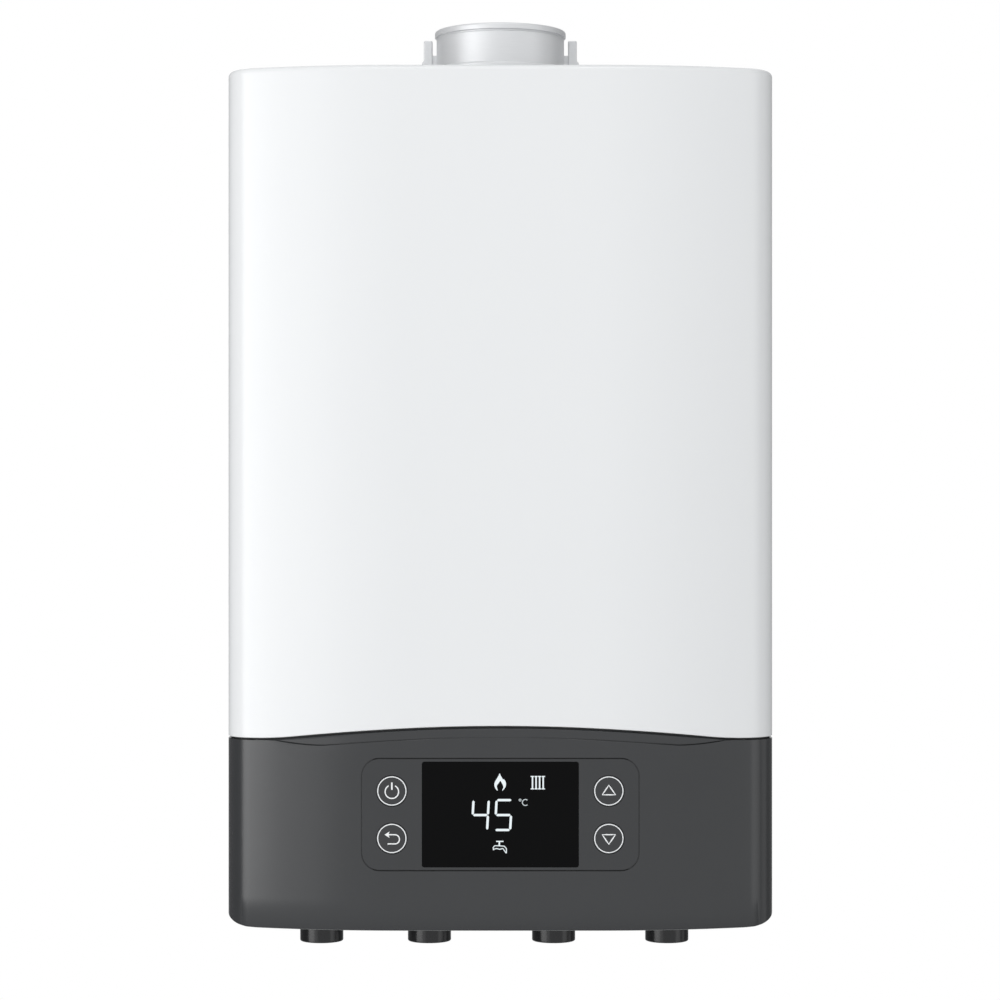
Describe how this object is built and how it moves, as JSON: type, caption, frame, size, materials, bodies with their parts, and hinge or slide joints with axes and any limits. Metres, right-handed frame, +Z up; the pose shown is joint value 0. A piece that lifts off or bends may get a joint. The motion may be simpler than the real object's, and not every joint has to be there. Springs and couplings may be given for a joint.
{
  "type": "combi boiler",
  "caption": "Wall-hung combination boiler with bowed white casing, dark drop-down control flap with display and round keys, flue collar on top and pipe stubs below.",
  "frame": {"origin": "on the wall plane at the casing's centre line, halfway up the casing", "axes": "+X to the right seen from the front, +Y into the wall, +Z up; the front faces -Y"},
  "size_m": [0.44, 0.28, 0.7661],
  "materials": {
    "white_steel": "white powder coat, satin",
    "dark_plastic": "charcoal moulded plastic, fine grain",
    "panel_plastic": "charcoal, smooth",
    "key_plastic": "charcoal with a printed white ring and symbol",
    "display_lens": "black lens with white lit figures",
    "flue_grey": "light grey, slightly glossy",
    "galvanised": "zinc plated",
    "stainless": "stainless",
    "cast_aluminium": "cast",
    "motor_black": "black",
    "wheel_plastic": "black glass-filled plastic",
    "brass": "machined",
    "copper": "copper tube, drawn",
    "gas_steel": "yellow lacquered steel tube",
    "water_block": "glass-filled composite",
    "vessel_red": "red lacquer",
    "duct_white": "white polypropylene",
    "stub_plastic": "near-black moulded plastic",
    "seal_rubber": "soft black rubber",
    "red_knob": "red",
    "blue_knob": "blue",
    "box_plastic": "black",
    "circuit_green": "green circuit board with fitted components"
  },
  "bodies": {
    "boiler": {"side_panel_left": "white_steel", "side_panel_right": "white_steel", "top_plate": "white_steel", "lower_skirt_left": "dark_plastic", "lower_skirt_right": "dark_plastic", "flue_collar": "flue_grey", "flue_spigot": "flue_grey", "back_frame": "galvanised", "wall_bracket": "galvanised", "bottom_plate": "galvanised", "flap_catches": "galvanised", "collar_screws": "galvanised", "hinge_pins": "galvanised", "door_nuts": "galvanised", "burner": "stainless", "plate_exchanger": "stainless", "ignition_electrode": "stainless", "heat_exchanger": "cast_aluminium", "burner_door": "cast_aluminium", "mixing_duct": "cast_aluminium", "fan_housing": "cast_aluminium", "gas_valve": "cast_aluminium", "fan_motor": "motor_black", "pump_motor": "motor_black", "diverter_actuator": "motor_black", "heating_tails": "brass", "air_vent": "brass", "safety_valve": "brass", "flow_pipe": "copper", "return_pipe": "copper", "hot_pipe": "copper", "cold_pipe": "copper", "gas_pipe": "gas_steel", "flow_block": "water_block", "return_block": "water_block", "pump_housing": "water_block", "expansion_vessel": "vessel_red", "flue_duct": "duct_white", "condensate_trap": "duct_white", "stub_sleeves": "stub_plastic", "cable_gland": "stub_plastic", "spigot_seal": "seal_rubber", "casing_seal": "seal_rubber", "door_gasket": "seal_rubber"},
    "front_casing": {"front_casing": "white_steel"},
    "flap": {"fascia": "dark_plastic", "faceplate": "panel_plastic", "display_window": "display_lens", "control_box": "box_plastic", "main_board": "circuit_green", "display_board": "circuit_green"},
    "power_key": {"key_power": "key_plastic"},
    "back_key": {"key_back": "key_plastic"},
    "up_key": {"key_up": "key_plastic"},
    "down_key": {"key_down": "key_plastic"},
    "fan_wheel": {"fan_impeller": "wheel_plastic"},
    "pump_wheel": {"pump_impeller": "wheel_plastic"},
    "diverter": {"diverter_spindle": "brass"},
    "relief_knob": {"safety_knob": "red_knob"},
    "filling_tap": {"filling_knob": "blue_knob"}
  },
  "joints": [
    {"name": "flap_hinge", "type": "hinge", "parent": "boiler", "child": "flap", "pos_m": [0, -0.176, -0.3395], "axis": [1, 0, 0], "range_deg": [0, 90]},
    {"name": "casing_slide", "type": "slide", "parent": "boiler", "child": "front_casing", "axis": [0, -1, 0], "range_m": [0, 0.3]},
    {"name": "power_press", "type": "slide", "parent": "flap", "child": "power_key", "axis": [0, 1, 0], "range_m": [0, 0.0008], "stiffness_N_per_m": 900, "springref_m": -0.0004},
    {"name": "back_press", "type": "slide", "parent": "flap", "child": "back_key", "axis": [0, 1, 0], "range_m": [0, 0.0008], "stiffness_N_per_m": 900, "springref_m": -0.0004},
    {"name": "up_press", "type": "slide", "parent": "flap", "child": "up_key", "axis": [0, 1, 0], "range_m": [0, 0.0008], "stiffness_N_per_m": 900, "springref_m": -0.0004},
    {"name": "down_press", "type": "slide", "parent": "flap", "child": "down_key", "axis": [0, 1, 0], "range_m": [0, 0.0008], "stiffness_N_per_m": 900, "springref_m": -0.0004},
    {"name": "fan_spin", "type": "hinge", "parent": "boiler", "child": "fan_wheel", "pos_m": [-0.045, -0.22, -0.03], "axis": [0, -1, 0], "continuous": true},
    {"name": "pump_spin", "type": "hinge", "parent": "boiler", "child": "pump_wheel", "pos_m": [0.135, -0.13, -0.205], "axis": [0, -1, 0], "continuous": true},
    {"name": "diverter_slide", "type": "slide", "parent": "boiler", "child": "diverter", "axis": [0, 1, 0], "range_m": [0, 0.006]},
    {"name": "relief_turn", "type": "hinge", "parent": "boiler", "child": "relief_knob", "pos_m": [0.088, -0.17, -0.272], "axis": [0, -1, 0], "range_deg": [0, 90]},
    {"name": "filling_turn", "type": "hinge", "parent": "boiler", "child": "filling_tap", "pos_m": [0.092, -0.085, -0.34], "axis": [0, 0, 1], "range_deg": [0, 90]}
  ]
}
